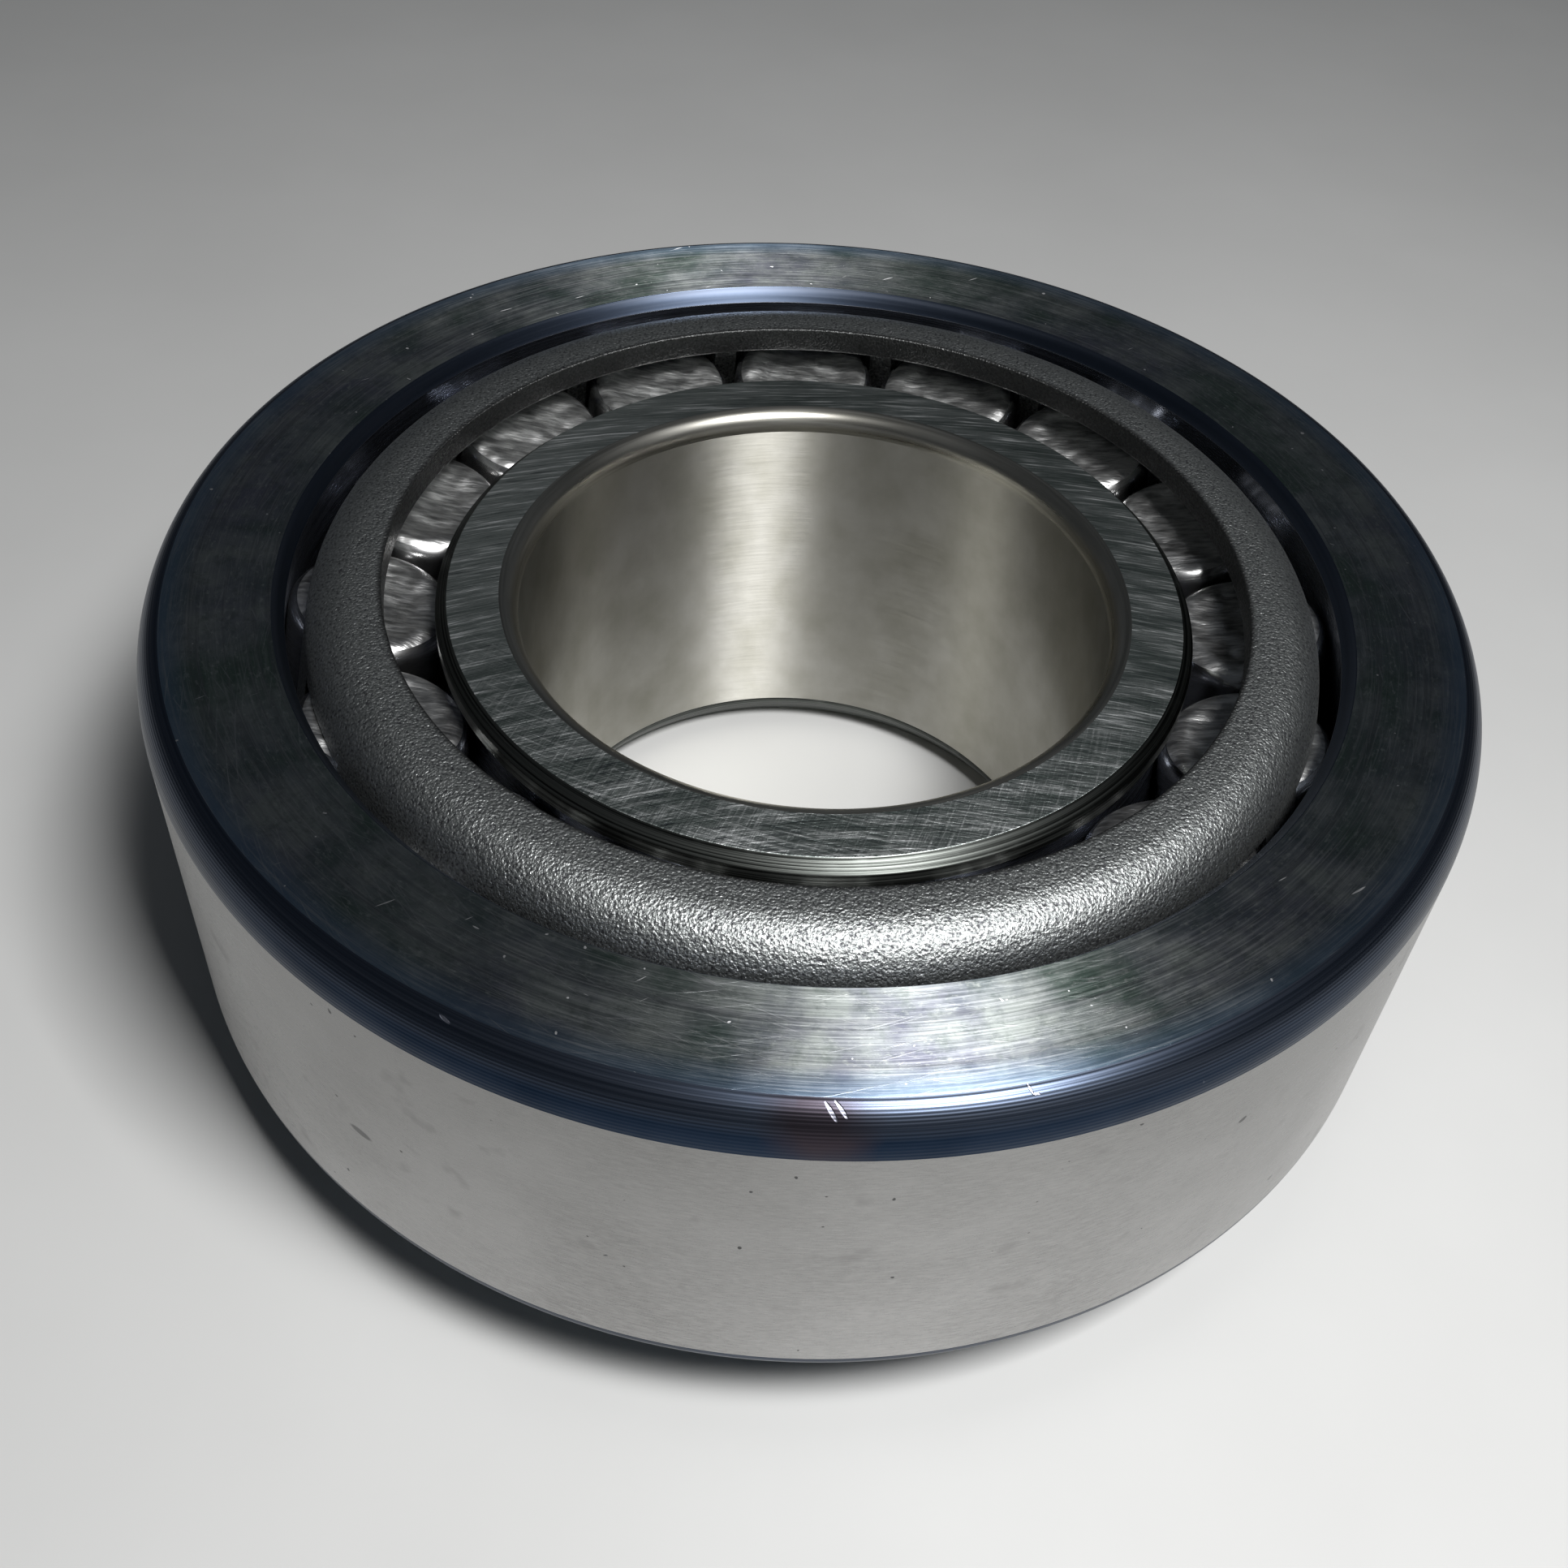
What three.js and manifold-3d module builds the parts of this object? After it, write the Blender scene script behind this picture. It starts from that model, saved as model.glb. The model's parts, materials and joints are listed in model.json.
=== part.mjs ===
// Single-row tapered roller bearing, metric size 50 x 110 x 42.25 mm.
// Millimetres, +Z up. Z is the shaft axis and the origin is the centre of the inner ring's back
// face, so the bearing stands on that face with the small ends of its rollers up.
import * as THREE from 'three';
import { mergeVertices } from 'three/addons/utils/BufferGeometryUtils.js';
import Module from 'manifold-3d';

const wasm = await Module();
wasm.setup();

// ---- Boundary dimensions ----
const BORE_DIAMETER = 50;
const OUTSIDE_DIAMETER = 110;
const ASSEMBLED_WIDTH = 42.25; // inner ring back face to outer ring back face
const INNER_RING_WIDTH = 40;
const OUTER_RING_WIDTH = 33;

// ---- Internal geometry: raceways and rollers share one apex on the axis ----
const ROLLER_COUNT = 16;
const OUTER_RACEWAY_ANGLE = 12.953; // degrees, half the cone angle
const ROLLER_HALF_ANGLE = 2.01; // degrees
const ROLLER_LENGTH = 27;
const ROLLER_SMALL_END_Z = 37; // height of the centre of a roller's small end
const FIRST_ROLLER_AZIMUTH = 4.85; // degrees from +X
const RACEWAY_MOUTH_RADIUS = 43.4;
const RACEWAY_MOUTH_Z = 40.95;

// ---- Clearances ----
const RACEWAY_CLEARANCE = 0.2;
const POCKET_CLEARANCE = 0.3;
const RIB_CLEARANCE = 0.2; // at the large rib, which guides the rollers
const SMALL_RIB_CLEARANCE = 1.7; // the small rib only keeps the rollers on

// ---- Ribs and corners ----
const SMALL_RIB_RADIUS = 31.75;
const LARGE_RIB_RADIUS = 39.3;
const OUTER_CORNER = { radial: 2.4, axial: 3.9 };
const OUTER_LOWER_CORNER = 2;
const MOUTH_CHAMFER = 0.85; // radial
const FRONT_MOUTH_CHAMFER = 0.65; // axial, at the raceway's wide end
const BORE_FRONT_CHAMFER = { radial: 1.5, axial: 1.9 };
const BORE_BACK_CORNER = 2.5;
const SMALL_RIB_CHAMFER = { radial: 1, axial: 0.8 };
const LARGE_RIB_CHAMFER = 0.8;
const ROLLER_EDGE = 0.7;

// ---- Cage: pressed from steel sheet ----
const SHEET = 2.4;
const CAGE_TOP_Z = 42.55;
const CAGE_FLANGE_RADIUS = 35.7;
const CAGE_BEND_RADIUS = 4.3;
const CAGE_BEND_CENTRE_RADIUS = 37.9;
const CAGE_WALL_ANGLE = 12.4; // degrees from the axis
const CAGE_BOTTOM_Z = 6;

// ---- Faceting ----
const RING_SEGMENTS = 64;
const ROLLER_SEGMENTS = 20;
const CORNER_STEPS = 3;
const BEND_STEPS = 4;

const radians = THREE.MathUtils.degToRad;
const point = (radius, z) => new THREE.Vector2(radius, z);

const apexZ = RACEWAY_MOUTH_Z + RACEWAY_MOUTH_RADIUS / Math.tan(radians(OUTER_RACEWAY_ANGLE));
const rollerTilt = radians(OUTER_RACEWAY_ANGLE - ROLLER_HALF_ANGLE);
const innerRacewayAngle = OUTER_RACEWAY_ANGLE - 2 * ROLLER_HALF_ANGLE;

// Radius of a cone about the bearing axis that has its tip at the common apex.
const coneRadius = (angle, z) => (apexZ - z) * Math.tan(radians(angle));

// Axial distance from the apex to a roller's small end, along the roller's own axis.
const smallEndDistance = (apexZ - ROLLER_SMALL_END_Z) / Math.cos(rollerTilt);
const rollerRadius = (distance) => distance * Math.tan(radians(ROLLER_HALF_ANGLE));

function material(color, roughness, metalness) {
  return new THREE.MeshStandardMaterial({ color, roughness, metalness });
}

// Quarter ellipse between two tangent directions, for a rounded corner.
function corner(centreRadius, centreZ, radial, axial, from, to, steps) {
  return Array.from({ length: steps + 1 }, (_, i) => {
    const angle = radians(from + ((to - from) * i) / steps);
    return point(centreRadius + radial * Math.cos(angle), centreZ + axial * Math.sin(angle));
  });
}

// Solid of revolution about the local Y axis, from a closed outline run counter-clockwise.
function revolve(outline, segments) {
  return new THREE.LatheGeometry([...outline, outline[0]], segments);
}

function outerRing() {
  const outside = OUTSIDE_DIAMETER / 2;
  const frontZ = ASSEMBLED_WIDTH - OUTER_RING_WIDTH;
  const racewayEndZ = frontZ + FRONT_MOUTH_CHAMFER;
  const racewayEndRadius = coneRadius(OUTER_RACEWAY_ANGLE, racewayEndZ);
  return [
    point(RACEWAY_MOUTH_RADIUS, RACEWAY_MOUTH_Z),
    point(racewayEndRadius, racewayEndZ),
    point(racewayEndRadius + MOUTH_CHAMFER, frontZ),
    ...corner(outside - OUTER_LOWER_CORNER, frontZ + OUTER_LOWER_CORNER, OUTER_LOWER_CORNER,
      OUTER_LOWER_CORNER, -90, 0, CORNER_STEPS),
    ...corner(outside - OUTER_CORNER.radial, ASSEMBLED_WIDTH - OUTER_CORNER.axial,
      OUTER_CORNER.radial, OUTER_CORNER.axial, 0, 90, CORNER_STEPS),
    point(RACEWAY_MOUTH_RADIUS + MOUTH_CHAMFER, ASSEMBLED_WIDTH),
  ];
}

// Height of the plane across a roller's end at a given radius from the bearing axis.
function endPlaneZ(distance, radius) {
  const centreRadius = distance * Math.sin(rollerTilt);
  const centreZ = apexZ - distance * Math.cos(rollerTilt);
  return centreZ + (radius - centreRadius) * Math.tan(rollerTilt);
}

function innerRing() {
  const bore = BORE_DIAMETER / 2;
  const ribGap = RIB_CLEARANCE / Math.cos(rollerTilt);
  const top = smallEndDistance - SMALL_RIB_CLEARANCE;
  const bottom = smallEndDistance + ROLLER_LENGTH;
  const racewayTopZ = endPlaneZ(top, coneRadius(innerRacewayAngle, ROLLER_SMALL_END_Z));
  const racewayTopRadius = coneRadius(innerRacewayAngle, racewayTopZ);
  const largeEndZ = apexZ - bottom * Math.cos(rollerTilt);
  const racewayBottomRadius = coneRadius(innerRacewayAngle, largeEndZ);
  const racewayBottomZ = endPlaneZ(bottom, racewayBottomRadius) - ribGap;
  const ribFaceZ = endPlaneZ(bottom, LARGE_RIB_RADIUS) - ribGap;
  return [
    point(bore, BORE_BACK_CORNER),
    ...corner(bore + BORE_BACK_CORNER, BORE_BACK_CORNER, BORE_BACK_CORNER, BORE_BACK_CORNER,
      180, 270, CORNER_STEPS).slice(1),
    point(LARGE_RIB_RADIUS - LARGE_RIB_CHAMFER, 0),
    point(LARGE_RIB_RADIUS, LARGE_RIB_CHAMFER),
    point(LARGE_RIB_RADIUS, ribFaceZ),
    point(racewayBottomRadius, racewayBottomZ),
    point(racewayTopRadius, racewayTopZ),
    point(SMALL_RIB_RADIUS, endPlaneZ(top, SMALL_RIB_RADIUS)),
    point(SMALL_RIB_RADIUS, INNER_RING_WIDTH - SMALL_RIB_CHAMFER.axial),
    point(SMALL_RIB_RADIUS - SMALL_RIB_CHAMFER.radial, INNER_RING_WIDTH),
    point(bore + BORE_FRONT_CHAMFER.radial, INNER_RING_WIDTH),
    point(bore, INNER_RING_WIDTH - BORE_FRONT_CHAMFER.axial),
  ];
}

// One face of the cage sheet: flange, bend and conical wall, set in from the outer face.
function cageFace(inset) {
  const bendCentreZ = CAGE_TOP_Z - CAGE_BEND_RADIUS;
  const bendRadius = CAGE_BEND_RADIUS - inset;
  const bend = corner(CAGE_BEND_CENTRE_RADIUS, bendCentreZ, bendRadius, bendRadius,
    90, CAGE_WALL_ANGLE, BEND_STEPS);
  const wallTop = bend[BEND_STEPS];
  const drop = wallTop.y - CAGE_BOTTOM_Z;
  return [
    point(CAGE_FLANGE_RADIUS, CAGE_TOP_Z - inset),
    ...bend,
    point(wallTop.x + drop * Math.tan(radians(CAGE_WALL_ANGLE)), CAGE_BOTTOM_Z),
  ];
}

// Outline of a roller that starts at its small end, with its own axis along Y.
function roller(reduction, extension, edge) {
  const start = smallEndDistance - extension;
  const end = smallEndDistance + ROLLER_LENGTH + extension;
  const smallRadius = rollerRadius(start) - reduction;
  const largeRadius = rollerRadius(end) - reduction;
  const rim = edge > 0
    ? [point(largeRadius - edge, -end), point(largeRadius, -end + edge),
      point(smallRadius, -start - edge), point(smallRadius - edge, -start)]
    : [point(largeRadius, -end), point(smallRadius, -start)];
  return new THREE.LatheGeometry([point(0, -end), ...rim, point(0, -start)], ROLLER_SEGMENTS);
}

// Puts a roller-shaped mesh on its tilted axis through the apex, at one place round the ring.
function placeRoller(mesh, index) {
  const pivot = new THREE.Group();
  pivot.rotation.y = radians(FIRST_ROLLER_AZIMUTH) + (2 * Math.PI * index) / ROLLER_COUNT;
  mesh.position.y = apexZ;
  mesh.rotation.z = rollerTilt;
  pivot.add(mesh);
  return pivot;
}

function toManifold(geometry) {
  const bare = geometry.clone();
  bare.deleteAttribute('normal');
  bare.deleteAttribute('uv');
  const merged = mergeVertices(bare, 1e-4);
  const position = merged.attributes.position.array;
  const index = merged.index.array;
  const solid = new wasm.Mesh({
    numProp: 3,
    vertProperties: new Float32Array(position),
    triVerts: new Uint32Array(index),
  });
  return new wasm.Manifold(solid);
}

function toGeometry(manifold) {
  const mesh = manifold.getMesh();
  const geometry = new THREE.BufferGeometry();
  geometry.setAttribute('position', new THREE.BufferAttribute(mesh.vertProperties, 3));
  geometry.setIndex(new THREE.BufferAttribute(mesh.triVerts, 1));
  geometry.computeVertexNormals();
  return geometry;
}

// The cage with one pocket for each roller, cut to the roller's own form plus its play.
function cage() {
  const outline = [...cageFace(SHEET), ...cageFace(0).reverse()];
  let body = toManifold(revolve(outline, RING_SEGMENTS));
  for (let index = 0; index < ROLLER_COUNT; index += 1) {
    const cutter = new THREE.Mesh(roller(-POCKET_CLEARANCE, POCKET_CLEARANCE, 0));
    placeRoller(cutter, index).updateMatrixWorld(true);
    body = body.subtract(toManifold(cutter.geometry.applyMatrix4(cutter.matrixWorld)));
  }
  return toGeometry(body);
}

const bearing = new THREE.Group();
bearing.rotation.x = Math.PI / 2; // the outlines turn about Y, and the shaft axis is Z

function addRing(name, geometry, finish) {
  const mesh = new THREE.Mesh(geometry, finish);
  mesh.name = name;
  bearing.add(mesh);
}

addRing('outer_ring', revolve(outerRing(), RING_SEGMENTS), material(0x6f7478, 0.32, 1));
addRing('inner_ring', revolve(innerRing(), RING_SEGMENTS), material(0x6a6c6a, 0.35, 1));
addRing('cage', cage(), material(0x4c4f52, 0.55, 1));

for (let index = 0; index < ROLLER_COUNT; index += 1) {
  const mesh = new THREE.Mesh(roller(RACEWAY_CLEARANCE, 0, ROLLER_EDGE), material(0x9a9c9c, 0.25, 1));
  mesh.name = `roller_${String(index + 1).padStart(2, '0')}`;
  bearing.add(placeRoller(mesh, index));
}

const group = new THREE.Group();
group.add(bearing);
export default group;
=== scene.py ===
import json
import math

import bpy
from mathutils import Matrix, Vector


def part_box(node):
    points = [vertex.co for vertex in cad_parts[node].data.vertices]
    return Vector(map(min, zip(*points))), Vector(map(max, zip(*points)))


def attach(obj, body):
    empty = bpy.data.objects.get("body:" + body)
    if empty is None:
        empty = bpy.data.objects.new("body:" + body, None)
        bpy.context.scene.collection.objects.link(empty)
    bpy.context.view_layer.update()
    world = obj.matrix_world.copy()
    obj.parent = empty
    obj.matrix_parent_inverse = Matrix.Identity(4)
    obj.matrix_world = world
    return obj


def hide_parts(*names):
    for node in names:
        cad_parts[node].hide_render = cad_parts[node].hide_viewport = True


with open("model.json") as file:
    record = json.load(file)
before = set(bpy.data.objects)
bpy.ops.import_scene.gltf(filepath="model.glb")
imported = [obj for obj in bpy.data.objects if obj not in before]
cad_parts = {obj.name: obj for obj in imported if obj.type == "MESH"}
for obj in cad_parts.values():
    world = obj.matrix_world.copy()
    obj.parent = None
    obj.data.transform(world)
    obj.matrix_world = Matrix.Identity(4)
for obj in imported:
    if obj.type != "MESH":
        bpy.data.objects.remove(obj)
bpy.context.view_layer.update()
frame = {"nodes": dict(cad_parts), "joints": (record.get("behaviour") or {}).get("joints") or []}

MM = 0.001


# ---- Sizes, in millimetres, with the driving ones read from the frame ----

def span(node, axis):
    low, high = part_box(node)
    return low[axis] / MM, high[axis] / MM


OUTSIDE_RADIUS = span("outer_ring", 0)[1]
OUTER_FRONT_Z, OUTER_BACK_Z = span("outer_ring", 2)
INNER_BACK_Z, INNER_FRONT_Z = span("inner_ring", 2)
LARGE_RIB_RADIUS = span("inner_ring", 0)[1]
CAGE_BOTTOM_Z, CAGE_TOP_Z = span("cage", 2)

BORE_RADIUS = 25.0
SMALL_RIB_RADIUS = 31.75
SMALL_RIB_CHAMFER = (1.0, 0.9)
MOUTH_RADIUS = 43.4
MOUTH_CHAMFER = (0.85, 1.3)
FRONT_MOUTH_CHAMFER = (0.85, 0.65)
OUTER_CORNER = (2.4, 3.9)
BLUED_ANGLE = 84  # degrees up the outer corner, where the face's own finish starts
LOWER_CORNER = (2.0, 2.2)
BORE_CORNER = (1.5, 1.9)
BORE_BACK_CORNER = (2.3, 3.0)
# About where a roller's small and large ends leave the inner raceway.
SMALL_END_CONTACT_Z = 36.2
LARGE_END_CONTACT_RADIUS = 34.8
RELIEF_GROOVE = 0.4
RELIEF_WIDTH = 0.8
RELIEF_UNDERCUT = 0.1
LARGE_RIB_GROOVE = 0.5
OUTER_RACEWAY_ANGLE = math.radians(12.953)
ROLLER_HALF_ANGLE = math.radians(2.01)
ROLLER_LENGTH = 27.0
ROLLER_EDGE = 1.6  # at the small end
LARGE_END_EDGE = 0.6
LARGE_END_HOLLOW = 0.1
DISH_DEPTH = 0.35  # of the hollow in the small end
DISH_SLOPE = 0.3
DISH_STEPS = 10
ROLLER_PLAY = 0.04  # taken off a roller's radius
RIB_PLAY = 0.12  # at the large rib
SMALL_RIB_PLAY = 1.7

SHEET = 2.4
SHEET_EDGE = 0.3
FLANGE_EDGE = 0.15
FLANGE_RADIUS = 35.7
BEND_RADIUS = 4.3
BEND_CENTRE_RADIUS = 37.9
WALL_ANGLE = math.radians(12.4)
POCKET_PLAY = 0.25
SHARP_ANGLE = math.radians(35)

RING_STEPS = 256
ROLLER_STEPS = 72
CUTTER_STEPS = 48
BEND_STEPS = 14
ARC_STEPS = 5
HOLD = 0.04  # distance from a fillet to the extra point that keeps the next stretch flat

FLOOR_REACH = 1500
CAMERA_PLACE = (0, -115.657, 134.083)
CAMERA_YAW_PITCH_ROLL = (-0.73, 45.655, 4.393)  # degrees
CAMERA_LENS = 40.42
CAMERA_SENSOR = 36
CAMERA_CLIP = 5

# The light's place and size are in metres.
KEY_PLACE = (0.092, -0.135, 0.310)
KEY_SIZE = (0.09, 0.08)
KEY_POWER = 1.35
SKY_COLOUR = (0.82, 0.90, 1.0, 1)
SKY_STRENGTH = 0.045

ROLLERS = sorted(name for name in frame["nodes"] if name.startswith("roller_"))
joint_of = {joint["child"]: joint for joint in frame["joints"]}

# The roller axes, the raceways and the pockets all point at one apex on the shaft axis.
first_joint = joint_of[ROLLERS[0]]
first_centre = Vector(first_joint["pos_m"]) / MM
ROLLER_TILT = OUTER_RACEWAY_ANGLE - ROLLER_HALF_ANGLE
CENTRE_RADIUS = math.hypot(first_centre.x, first_centre.y)
CENTRE_DISTANCE = CENTRE_RADIUS / math.sin(ROLLER_TILT)
APEX_Z = first_centre.z + CENTRE_DISTANCE * math.cos(ROLLER_TILT)
SMALL_END = CENTRE_DISTANCE - ROLLER_LENGTH / 2
LARGE_END = CENTRE_DISTANCE + ROLLER_LENGTH / 2
INNER_RACEWAY_ANGLE = OUTER_RACEWAY_ANGLE - 2 * ROLLER_HALF_ANGLE


def cone_radius(angle, z):
    return (APEX_Z - z) * math.tan(angle)


def end_plane_z(distance, radius):
    """Height of the plane across a roller's end at a radius from the shaft axis."""
    centre_radius = distance * math.sin(ROLLER_TILT)
    centre_z = APEX_Z - distance * math.cos(ROLLER_TILT)
    return centre_z + (radius - centre_radius) * math.tan(ROLLER_TILT)


# ---- Meshes ----

def fillet(before, corner, after, radius):
    """Arc that rounds one corner of an outline."""
    a = (Vector(before) - Vector(corner)).normalized()
    b = (Vector(after) - Vector(corner)).normalized()
    half = a.angle(b) / 2
    setback = radius / math.tan(half)
    centre = Vector(corner) + (a + b).normalized() * (radius / math.sin(half))
    start = Vector(corner) + a * setback - centre
    sweep = start.angle_signed(Vector(corner) + b * setback - centre)
    turns = [Matrix.Rotation(-sweep * i / ARC_STEPS, 2) for i in range(ARC_STEPS + 1)]
    return [centre + rotation @ start for rotation in turns]


def quarter(centre, radial, axial, start, end, steps=BEND_STEPS):
    """Part of an ellipse, for a large rounded corner. Angles are in degrees from the radius."""
    angles = [math.radians(start + (end - start) * i / steps) for i in range(steps + 1)]
    return [Vector((centre[0] + radial * math.cos(a), centre[1] + axial * math.sin(a)))
            for a in angles]


def rounded(stretches):
    """Closed outline from (radius, z, fillet, finish) corners and (points, finish) curves.

    Each corner or curve, and the straight stretch that follows it, has its finish."""
    def is_curve(item):
        return len(item) == 2

    def start(item):
        return item[0][0] if is_curve(item) else Vector(item[:2])

    def end(item):
        return item[0][-1] if is_curve(item) else Vector(item[:2])

    arcs = []
    for i, item in enumerate(stretches):
        before, after = stretches[i - 1], stretches[(i + 1) % len(stretches)]
        arcs.append(item[0] if is_curve(item)
                    else fillet(end(before), item[:2], start(after), item[2]))
    points, finishes = [], []
    for i, arc in enumerate(arcs):
        finish = stretches[i][-1]
        points += arc
        finishes += [finish] * len(arc)
        gap = arcs[(i + 1) % len(arcs)][0] - arc[-1]
        if gap.length > 4 * HOLD:
            step = gap.normalized() * HOLD
            points += [arc[-1] + step, arc[-1] + gap - step]
            finishes += [finish] * 2
    return points, finishes


def new_object(name, vertices, faces, materials, indices):
    mesh = bpy.data.meshes.new(name)
    mesh.from_pydata([Vector(v) * MM for v in vertices], [], faces)
    for material in materials:
        mesh.materials.append(material)
    mesh.polygons.foreach_set("material_index", indices)
    mesh.shade_smooth()
    mesh.update()
    piece = bpy.data.objects.new(name, mesh)
    bpy.context.scene.collection.objects.link(piece)
    return piece


def turn(name, outline, finishes, materials):
    """Ring turned about the shaft axis from a closed outline. finishes index into materials."""
    count = len(outline)
    vertices, faces, indices = [], [], []
    for s in range(RING_STEPS):
        angle = 2 * math.pi * s / RING_STEPS
        vertices += [(p[0] * math.cos(angle), p[0] * math.sin(angle), p[1]) for p in outline]
        for i in range(count):
            j = (i + 1) % count
            here, there = s * count, (s + 1) % RING_STEPS * count
            faces.append((here + i, there + i, there + j, here + j))
            indices.append(finishes[i])
    return new_object(name, vertices, faces, materials, indices)


def turn_closed(name, outline, finishes, materials, steps):
    """Solid turned about its own axis from an outline that starts and ends on that axis."""
    inner = outline[1:-1]
    count = len(inner)
    vertices = [(0, 0, outline[0][1]), (0, 0, outline[-1][1])]
    faces, indices = [], []
    for s in range(steps):
        angle = 2 * math.pi * s / steps
        vertices += [(p[0] * math.cos(angle), p[0] * math.sin(angle), p[1]) for p in inner]
        here, there = 2 + s * count, 2 + (s + 1) % steps * count
        faces.append((0, there, here))
        indices.append(finishes[0])
        for i in range(count - 1):
            faces.append((here + i, there + i, there + i + 1, here + i + 1))
            indices.append(finishes[i + 1])
        faces.append((1, here + count - 1, there + count - 1))
        indices.append(finishes[-1])
    return new_object(name, vertices, faces, materials, indices)


# ---- Node materials ----

class Shader:
    """Short way to write a node material. Lengths in its textures are in millimetres."""

    def __init__(self, name):
        self.material = bpy.data.materials.new(name)
        self.material.use_nodes = True
        self.tree = self.material.node_tree
        self.principled = self.tree.nodes["Principled BSDF"]
        coordinates = self.add("ShaderNodeTexCoord")
        self.place = self.vector("MULTIPLY", coordinates.outputs["Object"], (1 / MM,) * 3)
        self.parts = self.add("ShaderNodeSeparateXYZ", self.place)

    def add(self, kind, *inputs, **settings):
        node = self.tree.nodes.new(kind)
        for key, value in settings.items():
            setattr(node, key, value)
        for socket, value in zip(node.inputs, inputs):
            self.feed(socket, value)
        return node

    def feed(self, socket, value):
        if isinstance(value, bpy.types.Node):
            value = value.outputs[0]
        if isinstance(value, bpy.types.NodeSocket):
            self.tree.links.new(value, socket)
        elif value is not None:
            socket.default_value = value

    def math(self, operation, a, b=0.0):
        return self.add("ShaderNodeMath", a, b, operation=operation).outputs[0]

    def vector(self, operation, a, b=(0.0, 0.0, 0.0)):
        return self.add("ShaderNodeVectorMath", a, b, operation=operation).outputs[0]

    def noise(self, vector, detail=3.0, roughness=0.55, scale=1.0):
        node = self.add("ShaderNodeTexNoise", vector)
        node.inputs["Scale"].default_value = scale
        node.inputs["Detail"].default_value = detail
        node.inputs["Roughness"].default_value = roughness
        return node.outputs[0]

    def ramp(self, value, low, high, to_low=0.0, to_high=1.0):
        return self.add("ShaderNodeMapRange", value, low, high, to_low, to_high).outputs[0]

    def mix(self, share, a, b):
        node = self.add("ShaderNodeMix", data_type="RGBA")
        self.feed(node.inputs["Factor"], share)
        self.feed(node.inputs["A"], a)
        self.feed(node.inputs["B"], b)
        return node.outputs["Result"]

    def arcs(self, centre, along, across, seed=0.0):
        """Coordinates for marks that run round a centre: slow along the arc, fast across it."""
        offset = self.vector("SUBTRACT", self.place, (centre[0], centre[1], 0.0))
        parts = self.add("ShaderNodeSeparateXYZ", offset).outputs
        flat = self.add("ShaderNodeCombineXYZ", parts[0], parts[1], 0.0)
        radius = self.add("ShaderNodeVectorMath", flat, operation="LENGTH").outputs["Value"]
        unit = self.add("ShaderNodeVectorMath", flat, operation="NORMALIZE").outputs[0]
        unit = self.add("ShaderNodeSeparateXYZ", unit).outputs
        depth = self.math("SUBTRACT", radius, parts[2])
        depth = self.math("ADD", self.math("MULTIPLY", depth, across), seed)
        return self.add(
            "ShaderNodeCombineXYZ",
            self.math("MULTIPLY", unit[0], along), self.math("MULTIPLY", unit[1], along), depth,
        ).outputs[0]

    def strokes(self, direction, along, across, seed=0.0):
        """Coordinates for straight marks that run in one direction across the XY plane."""
        c, s = math.cos(math.radians(direction)), math.sin(math.radians(direction))
        u = self.math("ADD", self.math("MULTIPLY", self.parts.outputs[0], c * along),
                      self.math("MULTIPLY", self.parts.outputs[1], s * along))
        v = self.math("ADD", self.math("MULTIPLY", self.parts.outputs[0], -s * across),
                      self.math("MULTIPLY", self.parts.outputs[1], c * across))
        return self.add("ShaderNodeCombineXYZ", u, v, seed).outputs[0]

    def radius(self):
        """Distance from the object's own Z axis."""
        flat = self.vector("MULTIPLY", self.place, (1.0, 1.0, 0.0))
        return self.add("ShaderNodeVectorMath", flat, operation="LENGTH").outputs["Value"]

    def rings(self, pitch):
        """Regular turned grooves round the object's own Z axis, from 0 to 1."""
        depth = self.math("SUBTRACT", self.radius(), self.parts.outputs[2])
        wave = self.math("SINE", self.math("MULTIPLY", depth, 2 * math.pi / pitch))
        return self.math("ADD", self.math("MULTIPLY", wave, 0.5), 0.5)

    def dot(self, a, b):
        return self.add("ShaderNodeVectorMath", a, b, operation="DOT_PRODUCT").outputs["Value"]

    def mark(self, start, end, width):
        """Mask of one short straight mark between two points, 1 along its middle."""
        run = Vector(end) - Vector(start)
        offset = self.vector("SUBTRACT", self.place, Vector(start) + run / 2)
        along = self.math("POWER", self.dot(offset, run.normalized()), 2.0)
        across = self.math("SUBTRACT", self.dot(offset, offset), along)
        reach = self.math("MULTIPLY", along, (2 / run.length) ** 2)
        spread = self.math("MULTIPLY", across, (2 / width) ** 2)
        return self.ramp(self.math("ADD", reach, spread), 1.0, 0.5)

    def most(self, *values):
        """Largest of several masks."""
        top = values[0]
        for value in values[1:]:
            top = self.math("MAXIMUM", top, value)
        return top

    def steel(self, colour, roughness, bump=None, depth=0.01, anisotropic=0.0):
        """Metal surface. depth is the bump's height in millimetres."""
        shader = self.principled.inputs
        shader["Metallic"].default_value = 1.0
        self.feed(shader["Base Color"], colour)
        self.feed(shader["Roughness"], roughness)
        if anisotropic:
            shader["Anisotropic"].default_value = anisotropic
            shader["Anisotropic Rotation"].default_value = 0.25  # a quarter turn
            tangent = self.add("ShaderNodeTangent", direction_type="RADIAL", axis="Z")
            self.feed(shader["Tangent"], tangent)
        if bump is not None:
            node = self.add("ShaderNodeBump")
            node.inputs["Strength"].default_value = 1.0
            node.inputs["Distance"].default_value = depth * MM
            self.feed(node.inputs["Height"], bump)
            self.feed(shader["Normal"], node.outputs[0])
        return self.material


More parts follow.
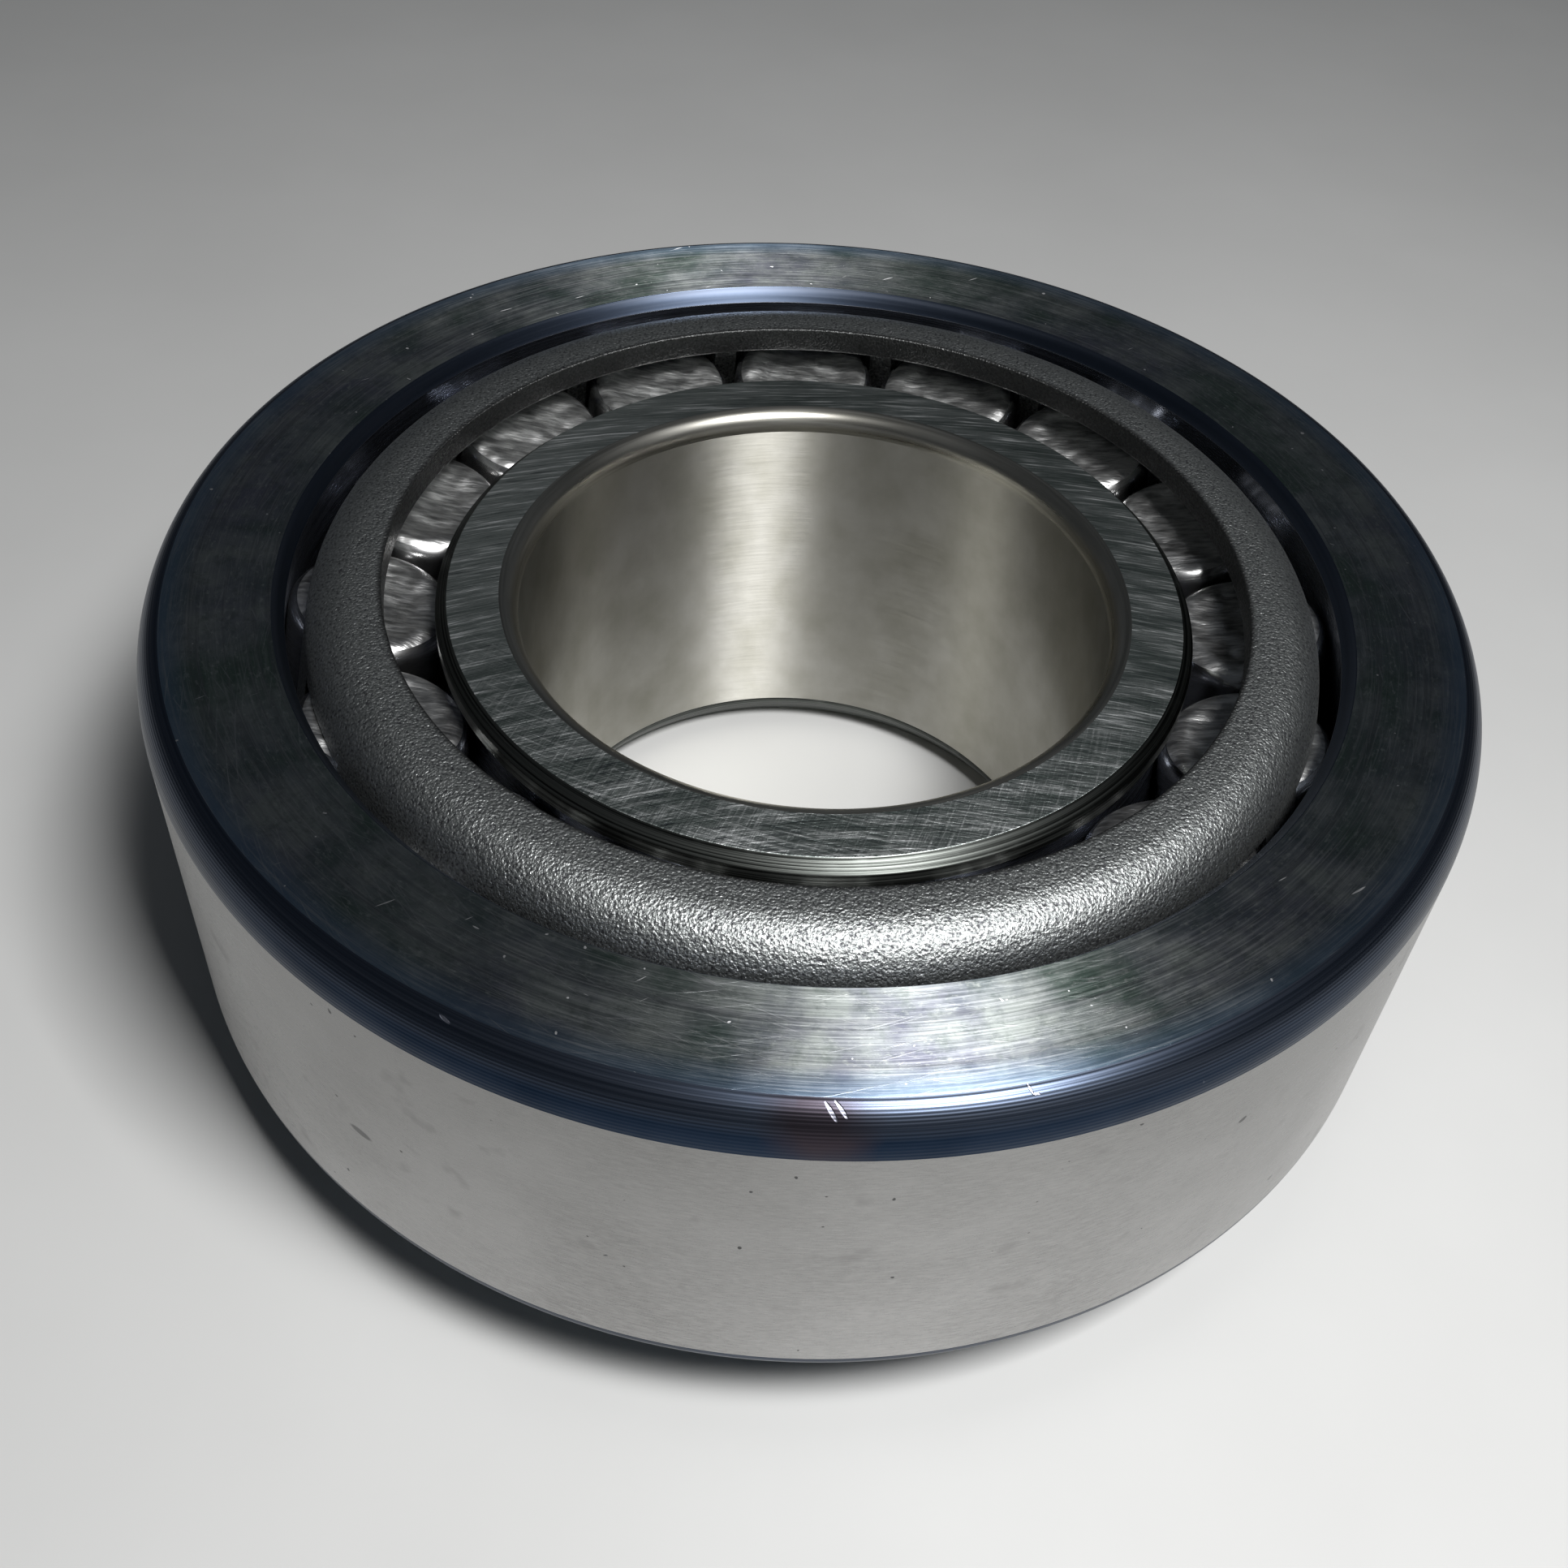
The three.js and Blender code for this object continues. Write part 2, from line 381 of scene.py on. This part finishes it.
def outer_face_steel():
    s = Shader("outer_face_steel")
    lines = s.noise(s.arcs((0, 0), 6.0, 7.0), detail=4, roughness=0.65)
    bands = s.noise(s.arcs((0, 0), 1.6, 1.8, 40.0), detail=3)
    crossing = s.noise(s.arcs((13, -9), 7.0, 6.0, 11.0), detail=4)
    other = s.noise(s.arcs((-15, 4), 7.0, 6.0, 23.0), detail=4)
    cloud = s.noise(s.place, detail=5, roughness=0.6, scale=0.14)
    tint = s.noise(s.place, detail=3, scale=0.07)
    mottle = s.noise(s.place, detail=6, roughness=0.7, scale=0.8)
    grit = s.noise(s.arcs((0, 0), 60.0, 3.0, 71.0), detail=5, roughness=0.7)
    specks = s.most(s.ramp(s.noise(s.place, detail=1, scale=1.4), 0.775, 0.79),
                    s.ramp(s.noise(s.strokes(-28, 0.5, 2.2, 3.0), detail=1), 0.785, 0.80),
                    s.ramp(s.noise(s.strokes(35, 0.25, 2.6, 9.0), detail=1), 0.775, 0.80))
    scratches = s.most(s.ramp(crossing, 0.60, 0.74), s.ramp(other, 0.62, 0.76))
    rim = s.ramp(s.radius(), OUTSIDE_RADIUS - 4.4, OUTSIDE_RADIUS - 2.6)
    tone = s.mix(s.ramp(tint, 0.42, 0.58), (0.20, 0.28, 0.24, 1), (0.29, 0.30, 0.38, 1))
    tone = s.mix(s.ramp(cloud, 0.42, 0.62), tone, (0.48, 0.52, 0.50, 1))
    tone = s.mix(s.math("MULTIPLY", s.ramp(mottle, 0.50, 0.36), 0.4), tone, (0.13, 0.17, 0.15, 1))
    tone = s.mix(s.math("MULTIPLY", s.ramp(grit, 0.55, 0.68), 0.7), tone, (0.66, 0.70, 0.67, 1))
    tone = s.mix(s.math("MULTIPLY", s.ramp(bands, 0.48, 0.66), 0.5), tone, (0.22, 0.23, 0.25, 1))
    tone = s.mix(s.math("MULTIPLY", rim, 0.7), tone, (0.24, 0.36, 0.52, 1))
    tone = s.mix(s.math("MULTIPLY", s.ramp(lines, 0.5, 0.75), 0.6), tone, (0.64, 0.65, 0.66, 1))
    tone = s.mix(s.math("MULTIPLY", scratches, 0.6), tone, (0.72, 0.73, 0.75, 1))
    tone = s.mix(specks, tone, (0.90, 0.90, 0.91, 1))
    rough = s.math("ADD", s.ramp(lines, 0.35, 0.65, 0.31, 0.43),
                   s.ramp(cloud, 0.3, 0.7, -0.03, 0.05))
    rough = s.math("ADD", rough, s.math("MULTIPLY", specks, 0.25))
    height = s.math("ADD", lines, s.math("MULTIPLY", scratches, 0.6))
    return s.steel(tone, rough, height, depth=0.010, anisotropic=0.86)


def on_corner(turn_angle, rise_angle):
    """Point on the ring's rounded corner: degrees round from the front, degrees up the corner."""
    turned, risen = math.radians(turn_angle), math.radians(rise_angle)
    radius = OUTSIDE_RADIUS - OUTER_CORNER[0] * (1 - math.cos(risen))
    z = OUTER_BACK_Z - OUTER_CORNER[1] * (1 - math.sin(risen))
    return radius * math.sin(turned), -radius * math.cos(turned), z


def blued_steel():
    s = Shader("blued_corner_steel")
    lines = s.noise(s.arcs((0, 0), 1.0, 4.5), detail=2)
    turned = s.rings(0.36)
    heat = s.noise(s.place, detail=4, scale=0.12)
    # One straw and purple spot, like a heat tint.
    spot = s.vector("SUBTRACT", s.place, (2.6, -53.6, 40.8))
    spot = s.add("ShaderNodeVectorMath", spot, operation="LENGTH").outputs["Value"]
    spot = s.ramp(s.math("ADD", spot, s.math("MULTIPLY", heat, 6.0)), 8.0, 5.0)
    wear = s.ramp(s.noise(s.place, detail=4, roughness=0.7, scale=0.9), 0.72, 0.78)
    nicks = s.most(s.mark(on_corner(3.5, 78), on_corner(4.4, 51), 0.40),
                   s.mark(on_corner(4.15, 80), on_corner(5.1, 55), 0.36),
                   s.mark(on_corner(17.5, 86), on_corner(17.8, 66), 0.24),
                   s.mark(on_corner(17.7, 68), on_corner(18.3, 66), 0.20),
                   s.mark(on_corner(-24.0, 69), on_corner(-22.9, 63), 0.24))
    # The upper band of the corner gets the lighter tone: painted highlight where the key light's
    # reflection falls; below it the corner keeps its dark blued colour.
    painted_highlight_band = s.ramp(s.parts.outputs[2], OUTER_BACK_Z - 2.2, OUTER_BACK_Z - 0.8)
    dark = s.mix(s.ramp(heat, 0.35, 0.65), (0.007, 0.018, 0.040, 1), (0.016, 0.030, 0.058, 1))
    light = s.mix(s.ramp(lines, 0.40, 0.64), (0.080, 0.102, 0.148, 1), (0.118, 0.140, 0.188, 1))
    tone = s.mix(painted_highlight_band, dark, light)
    grooves = s.math("MULTIPLY", turned, painted_highlight_band)
    tone = s.mix(s.math("MULTIPLY", grooves, 0.35), tone, (0.030, 0.040, 0.060, 1))
    tone = s.mix(s.math("MULTIPLY", spot, 0.8), tone, (0.058, 0.043, 0.050, 1))
    tone = s.mix(s.math("MULTIPLY", wear, 0.4), tone, (0.32, 0.35, 0.40, 1))
    tone = s.mix(nicks, tone, (0.45, 0.46, 0.55, 1))
    height = s.math("ADD", s.math("MULTIPLY", lines, 0.4), s.math("MULTIPLY", turned, 1.2))
    height = s.math("SUBTRACT", height, s.math("MULTIPLY", nicks, 4.0))
    rough = s.ramp(lines, 0.35, 0.65, 0.28, 0.36)
    return s.steel(tone, rough, height, depth=0.006, anisotropic=0.5)


def outside_steel():
    s = Shader("ground_outside_steel")
    lines = s.noise(s.arcs((0, 0), 50.0, 6.0), detail=4, roughness=0.65)
    cloud = s.noise(s.arcs((0, 0), 3.0, 0.07), detail=4)
    stains = s.ramp(s.noise(s.arcs((0, 0), 14.0, 0.3, 5.0), detail=3), 0.62, 0.75)
    specks = s.ramp(s.noise(s.place, detail=1, scale=0.9), 0.775, 0.79)
    tone = s.mix(s.ramp(cloud, 0.35, 0.65), (0.30, 0.295, 0.29, 1), (0.41, 0.405, 0.40, 1))
    tone = s.mix(s.ramp(lines, 0.40, 0.72, 0.0, 0.6), tone, (0.58, 0.57, 0.56, 1))
    tone = s.mix(s.math("MULTIPLY", stains, 0.4), tone, (0.22, 0.21, 0.21, 1))
    # Darker towards the top: painted shade on the upper part of the outside.
    tone = s.mix(s.ramp(s.parts.outputs[2], 10.0, 38.0, 0.0, 0.45), tone, (0.19, 0.19, 0.185, 1))
    smudge = s.mark((-30.6, -45.7, 23.4), (-28.6, -47.0, 23.2), 0.9)
    tone = s.mix(s.most(specks, s.math("MULTIPLY", smudge, 0.8)), tone, (0.08, 0.08, 0.08, 1))
    rough = s.math("ADD", s.ramp(lines, 0.3, 0.7, 0.24, 0.36), s.math("MULTIPLY", stains, 0.05))
    return s.steel(tone, rough, lines, depth=0.007, anisotropic=0.7)


def raceway_steel():
    s = Shader("raceway_steel")
    lines = s.noise(s.arcs((0, 0), 3.0, 8.0), detail=3)
    tone = s.mix(lines, (0.20, 0.22, 0.27, 1), (0.34, 0.36, 0.42, 1))
    return s.steel(tone, s.ramp(lines, 0.3, 0.7, 0.22, 0.32), lines, depth=0.003, anisotropic=0.6)


def inner_face_steel():
    s = Shader("inner_face_steel")
    # Grinding arcs as (centre, along, across, seed, weight): one dense family all over the face,
    # and others that cross it mostly at the front.
    dense_centre = (15, -97)
    families = [(dense_centre, 22.0, 4.2, 0.0, 1.0), ((27, 100), 26.0, 4.6, 31.0, 0.8),
                ((-150, 20), 30.0, 4.0, 57.0, 0.6)]
    patches = s.noise(s.arcs(dense_centre, 9.0, 0.7, 83.0), detail=3)
    front = s.ramp(s.parts.outputs[1], -8.0, -22.0)
    height, marks, dark = None, None, None
    for centre, along, across, seed, weight in families:
        layer = s.noise(s.arcs(centre, along, across, seed), detail=4, roughness=0.62)
        share = weight
        if centre != dense_centre:
            share = s.math("MULTIPLY", s.ramp(front, 0.0, 1.0, 0.08, 1.0), weight)
        mark = s.math("MULTIPLY", s.ramp(layer, 0.53, 0.66), share)
        cut = s.math("MULTIPLY", s.ramp(layer, 0.42, 0.30), share)
        layer = s.math("MULTIPLY", layer, share)
        height = layer if height is None else s.math("ADD", height, layer)
        marks = mark if marks is None else s.math("MAXIMUM", marks, mark)
        dark = cut if dark is None else s.math("MAXIMUM", dark, cut)
    marks = s.math("MULTIPLY", marks, s.ramp(patches, 0.38, 0.60, 0.25, 1.0))
    # The left-back of the face gets a lighter tone: painted highlight, where the grinding marks
    # catch the key light.
    left = s.ramp(s.parts.outputs[0], -4.0, -24.0)
    back = s.ramp(s.parts.outputs[1], -16.0, 2.0)
    painted_highlight_patch = s.math("MULTIPLY", left, back)
    base = s.mix(s.ramp(patches, 0.40, 0.62), (0.16, 0.19, 0.18, 1), (0.34, 0.37, 0.36, 1))
    base = s.mix(s.math("MULTIPLY", painted_highlight_patch, 0.45), base, (0.56, 0.60, 0.58, 1))
    tone = s.mix(marks, base, (0.85, 0.87, 0.87, 1))
    tone = s.mix(s.math("MULTIPLY", dark, 0.8), tone, (0.05, 0.06, 0.07, 1))
    rough = s.ramp(marks, 0.0, 1.0, 0.42, 0.50)
    return s.steel(tone, rough, height, depth=0.055)


def rib_steel():
    s = Shader("turned_rib_steel")
    lines = s.noise(s.arcs((0, 0), 0.8, 4.2), detail=2)
    cloud = s.noise(s.place, detail=3, scale=0.5)
    tone = s.mix(s.ramp(lines, 0.42, 0.60), (0.035, 0.038, 0.035, 1), (0.15, 0.16, 0.15, 1))
    tone = s.mix(s.ramp(cloud, 0.55, 0.75, 0.0, 0.4), tone, (0.16, 0.17, 0.16, 1))
    return s.steel(tone, s.ramp(lines, 0.3, 0.7, 0.34, 0.44), lines, depth=0.05, anisotropic=0.6)


def bore_corner_steel():
    s = Shader("bore_corner_steel")
    lines = s.noise(s.arcs((0, 0), 1.5, 4.0), detail=3)
    tone = s.mix(s.ramp(lines, 0.35, 0.65), (0.38, 0.37, 0.33, 1), (0.50, 0.49, 0.45, 1))
    return s.steel(tone, s.ramp(lines, 0.3, 0.7, 0.26, 0.34), lines, depth=0.012, anisotropic=0.3)


def bore_steel():
    s = Shader("ground_bore_steel")
    lines = s.noise(s.arcs((0, 0), 6.0, 8.0), detail=3)
    cloud = s.noise(s.arcs((0, 0), 5.0, 0.16, 4.0), detail=4)
    tone = s.mix(s.ramp(cloud, 0.3, 0.7), (0.43, 0.42, 0.37, 1), (0.57, 0.56, 0.52, 1))
    return s.steel(tone, s.ramp(lines, 0.3, 0.7, 0.38, 0.44), lines, depth=0.002, anisotropic=0.99)


def cage_steel():
    s = Shader("blasted_cage_steel")
    grain = s.noise(s.place, detail=3, roughness=0.5, scale=4.4)
    coarse = s.noise(s.place, detail=2, scale=1.6)
    cloud = s.noise(s.place, detail=3, scale=0.2)
    pits = s.ramp(s.noise(s.place, detail=2, scale=0.8), 0.73, 0.78)
    tone = s.mix(cloud, (0.26, 0.275, 0.27, 1), (0.35, 0.365, 0.36, 1))
    tone = s.mix(s.ramp(grain, 0.52, 0.68), tone, (0.58, 0.59, 0.59, 1))
    tone = s.mix(s.ramp(grain, 0.46, 0.34), tone, (0.10, 0.10, 0.11, 1))
    tone = s.mix(s.math("MULTIPLY", pits, 0.8), tone, (0.05, 0.05, 0.05, 1))
    # The inner edge of the flange is painted darker than the blasted sheet: painted shade on the
    # cut edge, which faces away from the key light.
    painted_edge_shade = s.ramp(s.radius(), FLANGE_RADIUS + 0.5, FLANGE_RADIUS + 0.1, 0.0, 0.85)
    tone = s.mix(painted_edge_shade, tone, (0.05, 0.05, 0.05, 1))
    height = s.math("ADD", grain, s.math("MULTIPLY", coarse, 0.6))
    return s.steel(tone, s.ramp(grain, 0.3, 0.7, 0.50, 0.38), height, depth=0.11)


def roller_flank_steel():
    s = Shader("roller_flank_steel")
    lines = s.noise(s.arcs((0, 0), 2.0, 8.0), detail=3)
    tone = s.mix(lines, (0.50, 0.50, 0.50, 1), (0.66, 0.66, 0.66, 1))
    return s.steel(tone, 0.24, lines, depth=0.003, anisotropic=0.4)


def roller_end_steel():
    s = Shader("roller_end_steel")
    seed = s.add("ShaderNodeObjectInfo").outputs["Random"]
    aside = s.add("ShaderNodeCombineXYZ", s.math("MULTIPLY", seed, 90.0), 0.0, 0.0)
    shift = s.vector("ADD", s.place, aside)
    dents = s.noise(shift, detail=1, scale=0.34)
    streaks = s.noise(s.vector("MULTIPLY", shift, (0.55, 2.4, 1.0)), detail=4, roughness=0.55)
    tone = s.mix(s.ramp(streaks, 0.35, 0.65), (0.44, 0.44, 0.44, 1), (0.84, 0.84, 0.83, 1))
    height = s.math("ADD", s.math("MULTIPLY", dents, 7.0), s.math("MULTIPLY", streaks, 0.7))
    return s.steel(tone, s.ramp(streaks, 0.3, 0.7, 0.36, 0.44), height, depth=0.12)


# ---- Pieces ----

def build_outer_ring():
    """The cup. Its outline has (radius, height, fillet, finish) corners and rounded curves."""
    face, corner, outside, raceway = range(4)
    front_mouth_z = OUTER_FRONT_Z + FRONT_MOUTH_CHAMFER[1]
    front_mouth = cone_radius(OUTER_RACEWAY_ANGLE, front_mouth_z)
    top_centre = (OUTSIDE_RADIUS - OUTER_CORNER[0], OUTER_BACK_Z - OUTER_CORNER[1])
    low_centre = (OUTSIDE_RADIUS - LOWER_CORNER[0], OUTER_FRONT_Z + LOWER_CORNER[1])
    outline, finishes = rounded([
        (MOUTH_RADIUS, OUTER_BACK_Z - MOUTH_CHAMFER[1], 0.12, raceway),
        (front_mouth, front_mouth_z, 0.12, corner),
        (front_mouth + FRONT_MOUTH_CHAMFER[0], OUTER_FRONT_Z, 0.12, face),
        (quarter(low_centre, *LOWER_CORNER, -88, 0)[:-1], corner),
        ([Vector((OUTSIDE_RADIUS, low_centre[1]))], outside),
        (quarter(top_centre, *OUTER_CORNER, 0, BLUED_ANGLE)[:-1], corner),
        (quarter(top_centre, *OUTER_CORNER, BLUED_ANGLE, 90, 2), face),
        (MOUTH_RADIUS + MOUTH_CHAMFER[0], OUTER_BACK_Z, 0.08, corner),
    ])
    materials = [outer_face_steel(), blued_steel(), outside_steel(), raceway_steel()]
    piece = turn("outer_ring_turned", outline, finishes, materials)
    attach(piece, "outer_ring")
    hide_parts("outer_ring")


def build_inner_ring():
    """The cone, from an outline written like the cup's. The lip is the corner of the bore."""
    face, rib, bore, raceway, lip = range(5)
    contact_radius = cone_radius(INNER_RACEWAY_ANGLE, SMALL_END_CONTACT_Z)
    top_z = end_plane_z(SMALL_END, contact_radius) + SMALL_RIB_PLAY
    top_radius = cone_radius(INNER_RACEWAY_ANGLE, top_z)
    low_radius = cone_radius(INNER_RACEWAY_ANGLE, end_plane_z(LARGE_END, LARGE_END_CONTACT_RADIUS))
    low_z = end_plane_z(LARGE_END, low_radius) - RIB_PLAY
    low_relief_z, top_relief_z = low_z + RELIEF_WIDTH, top_z - RELIEF_WIDTH
    groove_radius = low_radius + LARGE_RIB_GROOVE
    bore_centre = (BORE_RADIUS + BORE_CORNER[0], INNER_FRONT_Z - BORE_CORNER[1])
    outline, finishes = rounded([
        (BORE_RADIUS, INNER_BACK_Z + BORE_BACK_CORNER[1], 2.0, rib),
        (BORE_RADIUS + BORE_BACK_CORNER[0], INNER_BACK_Z, 1.2, face),
        (LARGE_RIB_RADIUS, INNER_BACK_Z, 0.8, rib),
        (LARGE_RIB_RADIUS, end_plane_z(LARGE_END, LARGE_RIB_RADIUS) - RIB_PLAY, 0.5, raceway),
        (groove_radius, end_plane_z(LARGE_END, groove_radius) - RIB_PLAY, 0.05, raceway),
        (low_radius - RELIEF_GROOVE, low_z - RELIEF_UNDERCUT, 0.3, raceway),
        (cone_radius(INNER_RACEWAY_ANGLE, low_relief_z), low_relief_z, 0.2, raceway),
        (cone_radius(INNER_RACEWAY_ANGLE, top_relief_z), top_relief_z, 0.2, raceway),
        (top_radius - RELIEF_GROOVE, top_z, 0.3, raceway),
        (SMALL_RIB_RADIUS, end_plane_z(SMALL_END, SMALL_RIB_RADIUS) + SMALL_RIB_PLAY, 0.3, rib),
        (SMALL_RIB_RADIUS, INNER_FRONT_Z - SMALL_RIB_CHAMFER[1], 0.15, rib),
        (SMALL_RIB_RADIUS - SMALL_RIB_CHAMFER[0], INNER_FRONT_Z, 0.08, face),
        (quarter(bore_centre, *BORE_CORNER, 90, 178)[:-1], lip),
        ([Vector((BORE_RADIUS, INNER_FRONT_Z - BORE_CORNER[1]))], bore),
    ])
    materials = [inner_face_steel(), rib_steel(), bore_steel(), raceway_steel(),
                 bore_corner_steel()]
    piece = turn("inner_ring_turned", outline, finishes, materials)
    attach(piece, "inner_ring")
    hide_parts("inner_ring")


def cage_outline():
    """Section of the pressed sheet: flange, bend and conical wall."""
    bend_centre = Vector((BEND_CENTRE_RADIUS, CAGE_TOP_Z - BEND_RADIUS))

    def face(inset):
        radius = BEND_RADIUS - inset
        points = [Vector((FLANGE_RADIUS, CAGE_TOP_Z - inset))]
        for i in range(BEND_STEPS + 1):
            angle = math.radians(90) + (WALL_ANGLE - math.radians(90)) * i / BEND_STEPS
            points.append(bend_centre + radius * Vector((math.cos(angle), math.sin(angle))))
        drop = points[-1].y - CAGE_BOTTOM_Z
        points.append(Vector((points[-1].x + drop * math.tan(WALL_ANGLE), CAGE_BOTTOM_Z)))
        return points

    outer = face(0.0)
    inner = face(SHEET)
    start = fillet(inner[1], inner[0], outer[0], SHEET_EDGE)
    start += fillet(inner[0], outer[0], outer[1], FLANGE_EDGE)
    end = fillet(outer[-2], outer[-1], inner[-1], SHEET_EDGE)
    end += fillet(outer[-1], inner[-1], inner[-2], SHEET_EDGE)
    return start + outer[1:-1] + end + inner[1:-1][::-1]


def roller_matrix(node):
    """Place of a roller: its centre, with local Z along its axis towards the small end."""
    joint = joint_of[node]
    axis = Vector(joint["axis"]).normalized()
    side = Vector((1, 0, 0)) - axis.x * axis
    side.normalize()
    turn_to = Matrix((side, axis.cross(side), axis)).transposed().to_4x4()
    return Matrix.Translation(Vector(joint["pos_m"])) @ turn_to


def roller_outline(play, edge, reach=0.0):
    """Half section of a roller, small end up, or with no edge the plain cone that cuts a pocket.

    play is added to the radius and reach to each end."""
    half = ROLLER_LENGTH / 2 + reach
    slope = math.tan(ROLLER_HALF_ANGLE)
    small = (CENTRE_DISTANCE - half) * slope + play
    large = (CENTRE_DISTANCE + half) * slope + play
    if edge == 0:
        return [Vector(p) for p in ((0, -half), (large, -half), (small, half), (0, half))]
    low = fillet((0, -half), (large, -half), (small, half), LARGE_END_EDGE)
    high = fillet((large, -half), (small, half), (0, half), edge)
    rim = (small - edge) / small
    dish = []
    for i in range(1, DISH_STEPS):
        share = rim * (1 - i / DISH_STEPS)
        fall = 0.5 - 0.5 * math.cos(math.pi * min(1.0, (rim - share) / DISH_SLOPE))
        dish.append(Vector((small * share, half - DISH_DEPTH * fall)))
    low_middle = Vector((0, -half + LARGE_END_HOLLOW))
    high_middle = Vector((0, half - DISH_DEPTH))
    return [low_middle] + low + high + dish + [high_middle]


def build_cage():
    outline = cage_outline()
    piece = turn("cage_pressed", outline, [0] * len(outline), [cage_steel()])
    cutters = []
    for node in ROLLERS:
        points = roller_outline(POCKET_PLAY, 0, reach=POCKET_PLAY)
        cutter = turn_closed("pocket_cutter", points, [0] * len(points), [], CUTTER_STEPS)
        cutter.matrix_world = roller_matrix(node)
        cutters.append(cutter)
    bpy.context.view_layer.update()
    for cutter in cutters:
        cut = piece.modifiers.new("pocket", "BOOLEAN")
        cut.operation = "DIFFERENCE"
        cut.solver = "EXACT"
        cut.object = cutter
        with bpy.context.temp_override(object=piece, active_object=piece):
            bpy.ops.object.modifier_apply(modifier=cut.name)
    for cutter in cutters:
        bpy.data.objects.remove(cutter)
    piece.data.set_sharp_from_angle(angle=SHARP_ANGLE)
    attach(piece, "cage")
    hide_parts("cage")


def build_rollers():
    flank, end = range(2)
    materials = [roller_flank_steel(), roller_end_steel()]
    points = roller_outline(-ROLLER_PLAY, ROLLER_EDGE)
    # Flank: both rounded edges and the cone between them, but for two steps at the small end.
    edge_points = 2 * (ARC_STEPS + 1)
    finishes = [end] + [flank] * (edge_points - 3) + [end] * (len(points) - edge_points)
    for node in ROLLERS:
        piece = turn_closed(node + "_ground", points, finishes, materials, ROLLER_STEPS)
        piece.matrix_world = roller_matrix(node)
        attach(piece, node)
        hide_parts(node)


# ---- Floor, camera and light ----

def build_floor():
    s = Shader("pale_floor")
    cloud = s.noise(s.place, detail=4, scale=0.02)
    tone = s.mix(cloud, (0.60, 0.60, 0.59, 1), (0.70, 0.70, 0.69, 1))
    s.feed(s.principled.inputs["Base Color"], tone)
    s.principled.inputs["Roughness"].default_value = 0.55
    reach = FLOOR_REACH
    corners = [(-reach, -reach, 0), (reach, -reach, 0), (reach, reach, 0), (-reach, reach, 0)]
    floor = new_object("floor", corners, [(0, 1, 2, 3)], [s.material], [0])


def build_camera():
    yaw, pitch, roll = (math.radians(angle) for angle in CAMERA_YAW_PITCH_ROLL)
    level_forward = Vector((math.sin(yaw), math.cos(yaw), 0))
    forward = math.cos(pitch) * level_forward - math.sin(pitch) * Vector((0, 0, 1))
    level = Vector((math.cos(yaw), -math.sin(yaw), 0))
    up = level.cross(forward)
    right = math.cos(roll) * level + math.sin(roll) * up
    up = -math.sin(roll) * level + math.cos(roll) * up
    data = bpy.data.cameras.new("camera")
    data.sensor_width = CAMERA_SENSOR
    data.lens = CAMERA_LENS
    data.clip_start = CAMERA_CLIP * MM
    camera = bpy.data.objects.new("camera", data)
    bpy.context.scene.collection.objects.link(camera)
    turn_to = Matrix((right, up, -forward)).transposed().to_4x4()
    camera.matrix_world = Matrix.Translation(Vector(CAMERA_PLACE) * MM) @ turn_to
    bpy.context.scene.camera = camera


def add_key_light():
    data = bpy.data.lights.new("key", "AREA")
    data.shape = "RECTANGLE"
    data.size, data.size_y = KEY_SIZE
    data.energy = KEY_POWER
    light = bpy.data.objects.new("key", data)
    bpy.context.scene.collection.objects.link(light)
    place = Vector(KEY_PLACE)
    aim = (-place).to_track_quat("-Z", "Y").to_matrix().to_4x4()
    light.matrix_world = Matrix.Translation(place) @ aim


def build_light():
    world = bpy.data.worlds.new("studio")
    world.use_nodes = True
    background = world.node_tree.nodes["Background"].inputs
    background["Color"].default_value = SKY_COLOUR
    background["Strength"].default_value = SKY_STRENGTH
    bpy.context.scene.world = world
    add_key_light()
    bpy.context.scene.view_settings.view_transform = "Standard"


build_camera()
build_outer_ring()
build_inner_ring()
build_cage()
build_rollers()
build_floor()
build_light()
